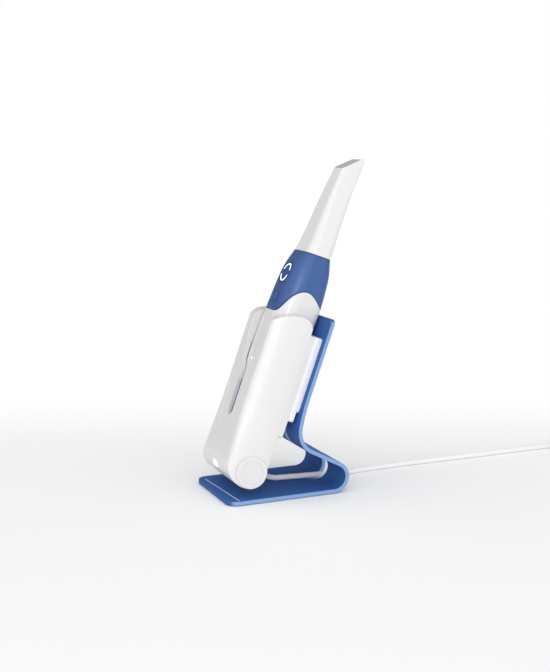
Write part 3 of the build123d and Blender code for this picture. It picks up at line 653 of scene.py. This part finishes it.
@dataclass
class Stand(Assembly):
    """The bent sheet with its pad, its bracket and the thin line printed on its base."""

    nodes: ClassVar[dict[str, str]] = {
        "stand_plate": "blue_sheet",
        "base_pad": "grey_pad",
        "bracket_flange": "white_bracket",
        "bracket_block": "white_bracket",
        "bracket_screws": "screw_steel",
    }

    line_start: tuple[float, float] = (-33.4, -51.4)
    line_end: tuple[float, float] = (40.0, -47.2)
    line_width: float = 0.8
    line_level: float = 4.2
    ink_thickness: float = 0.06

    def print_line(self) -> bpy.types.Object:
        """Lay the thin printed line across the front of the base.

        Returns:
            The line.
        """
        start = Vector(self.line_start) * MM
        end = Vector(self.line_end) * MM
        aside = (end - start).orthogonal().normalized() * self.line_width / 2 * MM
        low = self.line_level * MM
        high = low + self.ink_thickness * MM
        corners = [start - aside, end - aside, end + aside, start + aside]
        form = bmesh.new()
        lower = [form.verts.new((corner.x, corner.y, low)) for corner in corners]
        upper = [form.verts.new((corner.x, corner.y, high)) for corner in corners]
        form.faces.new(upper)
        form.faces.new(lower[::-1])
        for index in range(len(corners)):
            after = (index + 1) % len(corners)
            form.faces.new((lower[index], lower[after], upper[after], upper[index]))
        bmesh.ops.recalc_face_normals(form, faces=form.faces)
        line = add_form("printed_line", form)
        self.wardrobe.dress(line, "print_white")
        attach(line, "stand")
        return line

    def build(self) -> list[bpy.types.Object]:
        """Return the stand's dressed pieces, with the line printed on its base."""
        return [*super().build(), self.print_line()]


@dataclass
class Cradle(Assembly):
    """The charging cradle with its contacts."""

    nodes: ClassVar[dict[str, str]] = {
        "cradle_back_cover": "white_shell",
        "cradle_shell": "white_shell",
        "cradle_cap_left": "white_shell",
        "cradle_cap_right": "white_shell",
        "foot_light": "led_clear",
        "handle_seat": "grey_moulding",
        "contact_block": "black_moulding",
        "contact_pin_left": "gold_contact",
        "contact_pin_right": "gold_contact",
        "charge_board": "green_board",
        "cable_gland": "cable_white",
    }


@dataclass
class Scanner(Assembly):
    """The handheld scanner without its tip."""

    nodes: ClassVar[dict[str, str]] = {
        "handle_shell": "handle_white",
        "handle_end_cap": "handle_white",
        "charge_pads": "gold_contact",
        "collar": "blue_collar",
        "ring_light": "ring_white",
        "scan_key": "blue_key",
        "power_key": "power_key",
        "battery_pack": "battery_wrap",
        "main_board": "green_board",
        "key_bracket": "black_moulding",
        "key_switches": "black_moulding",
        "status_led": "led_clear",
        "optics_plate": "black_moulding",
        "camera_module": "lens_black",
        "light_projector": "lens_black",
        "nose_tube": "nose_black",
        "nose_window": "optical_glass",
    }


@dataclass
class Tip(Assembly):
    """The slip-on tip with its mirror."""

    nodes: ClassVar[dict[str, str]] = {
        "tip_sleeve": "tip_white",
        "tip_mirror": "tip_mirror",
    }


@dataclass(frozen=True)
class Softbox:
    """A soft light of the studio, with its power in watts."""

    name: str
    place: Place
    width: float
    height: float
    power: float

    def hang(self, aim: Place) -> None:
        """Hang the light so that it faces a point.

        Args:
            aim: The point that it faces.
        """
        data = bpy.data.lights.new(self.name, "AREA")
        data.shape = "RECTANGLE"
        data.size = self.width
        data.size_y = self.height
        data.energy = self.power
        light = add_object(self.name, data)
        light.location = self.place
        towards = Vector(aim) - Vector(self.place)
        light.rotation_euler = towards.to_track_quat("-Z", "Y").to_euler()


@dataclass
class Studio:
    """Camera, floor, surroundings and lights."""

    camera_place: Place = (0.9753, -0.4207, 0.3255)
    camera_azimuth: float = 66.48
    camera_pitch: float = 9.95
    focal_length: float = 64.92
    sensor_height: float = 36.0
    view_depth: float = 20.0
    floor_half: float = 3.0
    floor_light: Colour = grey(0.985)
    floor_dark: Colour = grey(0.965)
    floor_clouds: float = 3.0
    floor_octaves: float = 3.0
    fade_behind: Range = (0.10, 0.36)
    fade_around: Range = (0.8, 1.6)
    ambient: Range = (0.26, 1.10)
    bright_side: Place = (0.60, -0.20, 0.775)
    bright_turn: Range = (-0.5, 0.95)
    light_aim: Place = (0.0, 0.0, 0.12)
    lights: tuple[Softbox, ...] = (
        Softbox("key_light", place=(1.9, 0.3, 0.6), width=0.8, height=0.8, power=1.2),
        Softbox("front_light", place=(1.36, -0.82, 0.5), width=0.3, height=0.8, power=4.4),
    )

    def build_camera(self) -> None:
        """Place the camera at the photograph's viewing angle."""
        data = bpy.data.cameras.new("camera")
        data.sensor_fit = "VERTICAL"
        data.sensor_height = self.sensor_height
        data.lens = self.focal_length
        data.clip_end = self.view_depth
        camera = add_object("camera", data)
        camera.location = self.camera_place
        upright = math.radians(90.0 - self.camera_pitch)
        camera.rotation_euler = (upright, 0.0, math.radians(self.camera_azimuth))
        bpy.context.scene.camera = camera

    def floor_material(self) -> bpy.types.Material:
        """Make a pale matt floor that turns white behind the object and far from it.

        Returns:
            The floor's material.
        """
        material = bpy.data.materials.new("floor")
        graph = Graph(material)
        drift = graph.noise(self.floor_clouds, self.floor_octaves)
        colour = graph.blend(self.floor_light, self.floor_dark, drift)
        matt = {"Base Color": colour, "Roughness": 1.0, "Specular IOR Level": 0.0}
        heading = math.radians(self.camera_azimuth)
        behind = graph.reach((-math.sin(heading), math.cos(heading), 0.0))
        around = graph.node("VectorMath", {"operation": "LENGTH"}, {0: graph.object_place()}, "Value")
        white = behind.ease(*self.fade_behind).at_least(around.ease(*self.fade_around))
        mix = {
            0: white * graph.node("LightPath", output="Is Camera Ray"),
            1: graph.node("BsdfPrincipled", None, matt),
            2: graph.node("Emission", None, {"Color": opaque(grey(1.0))}),
        }
        graph.node("OutputMaterial", None, {"Surface": graph.node("MixShader", None, mix)})
        return material

    def build_floor(self) -> None:
        """Lay the floor, which keeps the object's shadow."""
        form = bmesh.new()
        bmesh.ops.create_grid(form, x_segments=2, y_segments=2, size=self.floor_half)
        floor = add_form("floor", form)
        floor.data.materials.append(self.floor_material())

    def build_world(self) -> None:
        """Surround the object with white that lights it more from one side."""
        world = bpy.data.worlds.new("studio")
        bpy.context.scene.world = world
        graph = Graph(world)
        towards = graph.dot(graph.node("TexCoord", output="Generated"), self.bright_side)
        dim, bright = self.ambient
        level = dim + towards.ease(*self.bright_turn) * (bright - dim)
        seen = graph.node("LightPath", output="Is Camera Ray")
        white = {"Color": opaque(grey(1.0)), "Strength": level * (1.0 - seen) + seen}
        graph.node("OutputWorld", None, {"Surface": graph.node("Background", None, white)})

    def build(self) -> None:
        """Set up the whole studio."""
        bpy.context.scene.view_settings.view_transform = "Standard"
        self.build_camera()
        self.build_floor()
        self.build_world()
        for light in self.lights:
            light.hang(self.light_aim)
        LOG.info("The studio is up")


def main() -> None:
    """Build the studio and then the object's assemblies in order, and report each piece."""
    logging.basicConfig(level=logging.INFO)
    Studio().build()
    wardrobe = Wardrobe()
    for kind in (ChargingLead, Stand, Cradle, Scanner, Tip):
        for piece in kind(wardrobe).build():
            LOG.info("%s: dressed %s", kind.__name__, piece.name)


if __name__ == "__main__":
    main()
